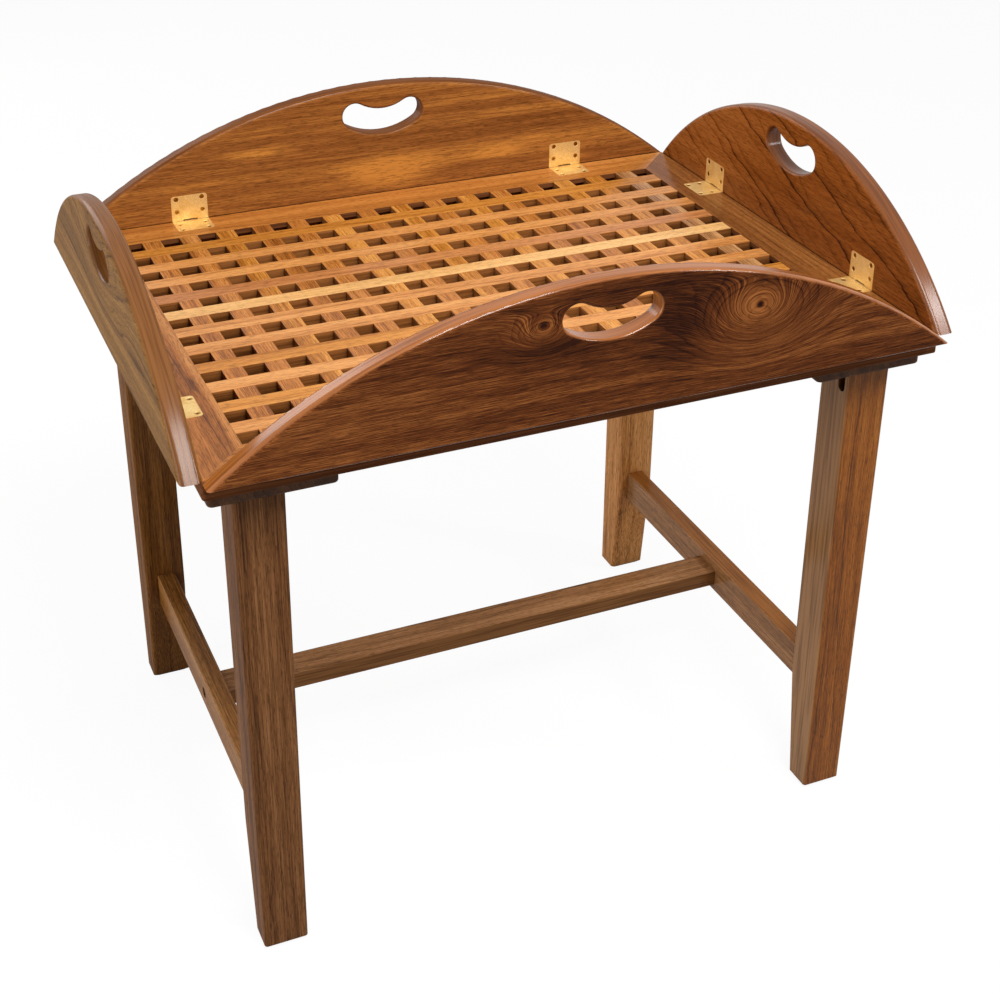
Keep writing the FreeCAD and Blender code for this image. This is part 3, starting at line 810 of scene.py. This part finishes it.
@dataclass
class Stand:
    """Legs, stretchers and their bolts."""

    nodes: Nodes
    steel: bpy.types.Material
    # Reach of the painted shade: long enough to darken the legs' tops under the runners, a painted shadow of
    # the tray
    painted_shade_mm: float = 30.0
    band: float = 0.8
    fibre: float = 1.3
    fibre_mm: tuple[float, float] = (60.0, 0.7)
    first_seed: int = 80

    def dress(self) -> None:
        """Finish each leg and stretcher by itself: its grain, colours, varnish and edge colour, if any."""
        standing, endways, flat = Grain.STANDING, Grain.CROSSWISE_UPRIGHT, Grain.LENGTHWISE_FLAT
        # Last column: edge colour of the side faces, partly painted light and shade: lighter on the front
        # right leg's inner face and the right end stretcher's top, darker on the long stretcher's front and
        # back. The right-hand legs and stretchers are lighter than the left-hand ones, partly their own tone
        # and partly painted light.
        woods = (("leg_front_left", standing, ("#3c2210", "#714828", "#936742"), 0.12, ""),
                 ("leg_front_right", standing, ("#44230a", "#8c4e16", "#ac7232"), 0.35, "#9a6f46"),
                 ("leg_rear_left", standing, ("#472911", "#784b21", "#9b6c3a"), 0.10, ""),
                 ("leg_rear_right", standing, ("#7a4620", "#d08d4c", "#ecb274"), 0.20, ""),
                 ("end_stretcher_left", endways, ("#52300f", "#8d5c2c", "#b1804c"), 0.20, ""),
                 ("end_stretcher_right", endways, ("#54321a", "#92643c", "#b38356"), 0.30, "#a3672f"),
                 ("long_stretcher", flat, ("#573619", "#a06f45", "#c09165"), 0.15, "#80552f"))
        for seed, (name, grain, colours, varnish, edge) in enumerate(woods, self.first_seed):
            finish = Teak(f"oiled_teak_{name}", *colours, grain, seed=seed, band=self.band, fibre=self.fibre,
                          fibre_mm=self.fibre_mm, varnish=varnish, edge=edge, edge_varnish=varnish,
                          painted_shade_mm=self.painted_shade_mm)
            dress(self.nodes[name], finish.material())
        for name in ("stretcher_bolts", "barrel_nuts"):
            dress(self.nodes[name], self.steel)


@dataclass(frozen=True)
class Lamp:
    """Square soft lamp: where it hangs and how wide it is, in metres, and its power in watts."""

    name: str
    place: tuple[float, float, float]
    side: float
    watts: float

    def hang(self, target: Vector) -> None:
        """Hang the lamp and turn it to a point.

        Args:
            target: Point that the lamp faces.
        """
        lamp = bpy.data.lights.new(self.name, "AREA")
        lamp.size = self.side
        lamp.energy = self.watts
        holder = bpy.data.objects.new(self.name, lamp)
        holder.location = self.place
        holder.rotation_euler = (target - Vector(self.place)).to_track_quat("-Z", "Y").to_euler()
        bpy.context.scene.collection.objects.link(holder)
        LOG.info("lamp %s hung", self.name)


@dataclass
class Studio:
    """White floor, soft light and the camera.

    Two small lamps hang high in front of the table, a broad one stands at its left and a faint one behind.
    """

    camera_mm: tuple[float, float, float] = (-579.3, -1379.5, 1191.2)
    azimuth: float = -23.03
    elevation: float = 27.61
    roll: float = 0.262
    focal_px: float = 1703.5
    centre_px: tuple[float, float] = (484.7, 390.2)
    frame_px: float = 1000.0
    sensor_mm: float = 36.0
    near_clip_m: float = 0.05
    world_level: float = 0.32
    floor_half_m: float = 12.0
    lamp_target_m: tuple[float, float, float] = (0.0, 0.0, 0.5)
    lamps: tuple[Lamp, ...] = (
        Lamp("front_high", (0.1, -1.45, 2.5), 0.9, 57.0), Lamp("right_high", (2.1, -1.4, 2.5), 0.55, 28.0),
        Lamp("left", (-2.8, -0.4, 1.1), 1.6, 42.0), Lamp("behind", (-0.9, 2.5, 1.5), 1.5, 20.0))

    def build(self) -> None:
        """Make the floor, world, lamps and camera."""
        self.build_floor()
        self.build_world()
        for lamp in self.lamps:
            lamp.hang(Vector(self.lamp_target_m))
        self.build_camera()

    def build_floor(self) -> None:
        """Lay one large square under the feet."""
        half = self.floor_half_m
        corners = [(-half, -half, 0), (half, -half, 0), (half, half, 0), (-half, half, 0)]
        mesh = bpy.data.meshes.new("floor")
        mesh.from_pydata(corners, [], [(0, 1, 2, 3)])
        floor = bpy.data.objects.new("floor", mesh)
        mesh.materials.append(PaleFloor().material())
        bpy.context.scene.collection.objects.link(floor)
        LOG.info("floor laid")

    def build_world(self) -> None:
        """Even white surroundings: plain as light, full white where the camera or a gloss sees them."""
        world = bpy.data.worlds.new("white_studio")
        world.use_nodes = True
        tree = world.node_tree
        tree.nodes.clear()
        seen = seen_rays(tree)
        level = add(tree, "MapRange", {"Value": seen, "To Min": self.world_level, "To Max": 1.0})
        glow = add(tree, "Background", {"Color": grey(1.0), "Strength": level.outputs["Result"]})
        add(tree, "OutputWorld", {"Surface": glow.outputs["Background"]})
        bpy.context.scene.world = world
        LOG.info("world lit")

    def build_camera(self) -> None:
        """Stand the camera where the view was taken, with the lens shift that its framing needs."""
        a, e = math.radians(self.azimuth), math.radians(self.elevation)
        back = Vector((math.sin(a) * math.cos(e), -math.cos(a) * math.cos(e), math.sin(e)))
        right = Vector((0, 0, 1)).cross(back).normalized()
        up = back.cross(right)
        turn = Matrix((right, up, back)).transposed().to_4x4()
        lens = bpy.data.cameras.new("camera")
        lens.sensor_fit = "HORIZONTAL"
        lens.sensor_width = self.sensor_mm
        lens.lens = self.focal_px / self.frame_px * self.sensor_mm
        lens.shift_x = 0.5 - self.centre_px[0] / self.frame_px
        lens.shift_y = self.centre_px[1] / self.frame_px - 0.5
        lens.clip_start = self.near_clip_m
        camera = bpy.data.objects.new("camera", lens)
        place = Matrix.Translation(Vector(self.camera_mm) * MM)
        camera.matrix_world = place @ turn @ Matrix.Rotation(math.radians(self.roll), 4, "Z")
        bpy.context.scene.collection.objects.link(camera)
        bpy.context.scene.camera = camera
        LOG.info("camera stood")


def main() -> None:
    """Dress the CAD pieces and build the studio."""
    logging.basicConfig(level=logging.INFO, format="%(name)s: %(message)s")
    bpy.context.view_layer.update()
    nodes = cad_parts
    bpy.context.scene.view_settings.view_transform = "Standard"
    # Brushed sheet brass: pale yellow, with broad soft highlights
    brass = Metal("satin_brass", "#ecd094", "#d6ae66", 0.6).material()
    # Turned brass: darker and sharper than the plates, so that each screw head stands out
    screw = Metal("turned_brass_screw", "#d3a455", "#8a6530", 0.26).material()
    # Zinc plate: cool grey with a dull sheen, deep in its holes
    steel = Metal("zinc_plated_steel", "#b9bcc0", "#85888c", 0.34).material()
    Stand(nodes, steel).dress()
    Grating(nodes).dress()
    TrayFrame(nodes, brass, screw, steel).dress()
    finishes = leaf_finishes()
    for side in SIDES:
        Leaf(nodes, side, finishes[side], brass, screw).dress()
    Studio().build()


if __name__ == "__main__":
    main()
